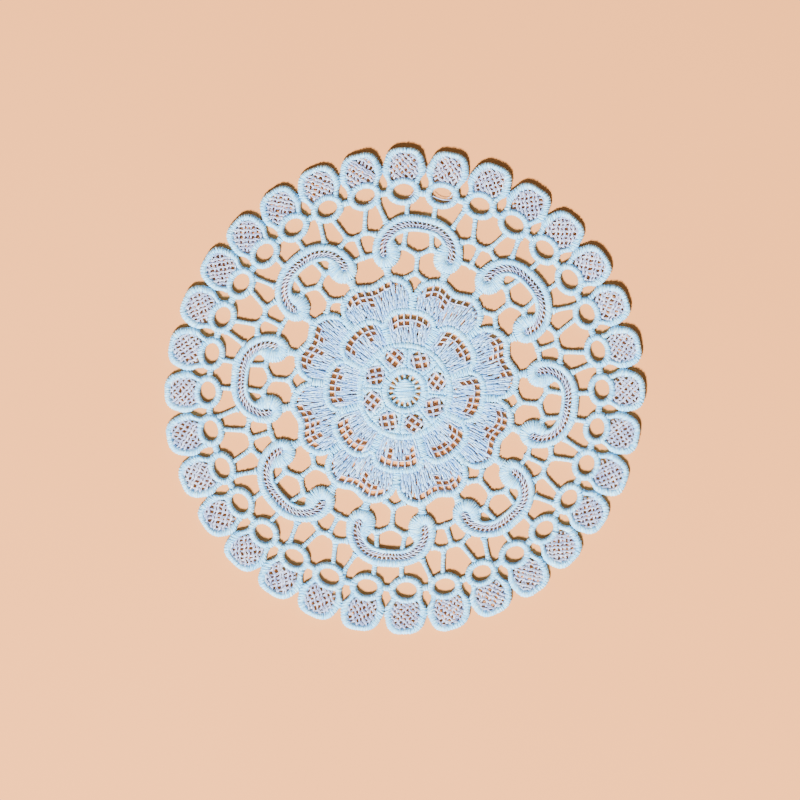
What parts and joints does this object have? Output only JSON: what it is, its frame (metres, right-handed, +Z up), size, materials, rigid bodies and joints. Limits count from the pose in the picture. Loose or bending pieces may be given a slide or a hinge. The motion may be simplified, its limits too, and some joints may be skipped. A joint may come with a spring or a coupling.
{
  "type": "round guipure lace mat",
  "caption": "Round, flat openwork lace mat with a layered flower in the middle, a ring of C scrolls on fine bars, and a scalloped edge; protects and decorates a table.",
  "frame": {"origin": "centre of the mat, on the surface that it lies on", "axes": "+Z up, out of the lace's stitched side; +Y towards the top of the picture; a scroll stands 5.6 degrees clockwise of +Y"},
  "size_m": [0.149, 0.151, 0.0016],
  "materials": {
    "white_cotton": "matte satin-stitched embroidery thread, cool white"
  },
  "bodies": {
    "root": {"lace_mat": "white_cotton"}
  },
  "joints": []
}
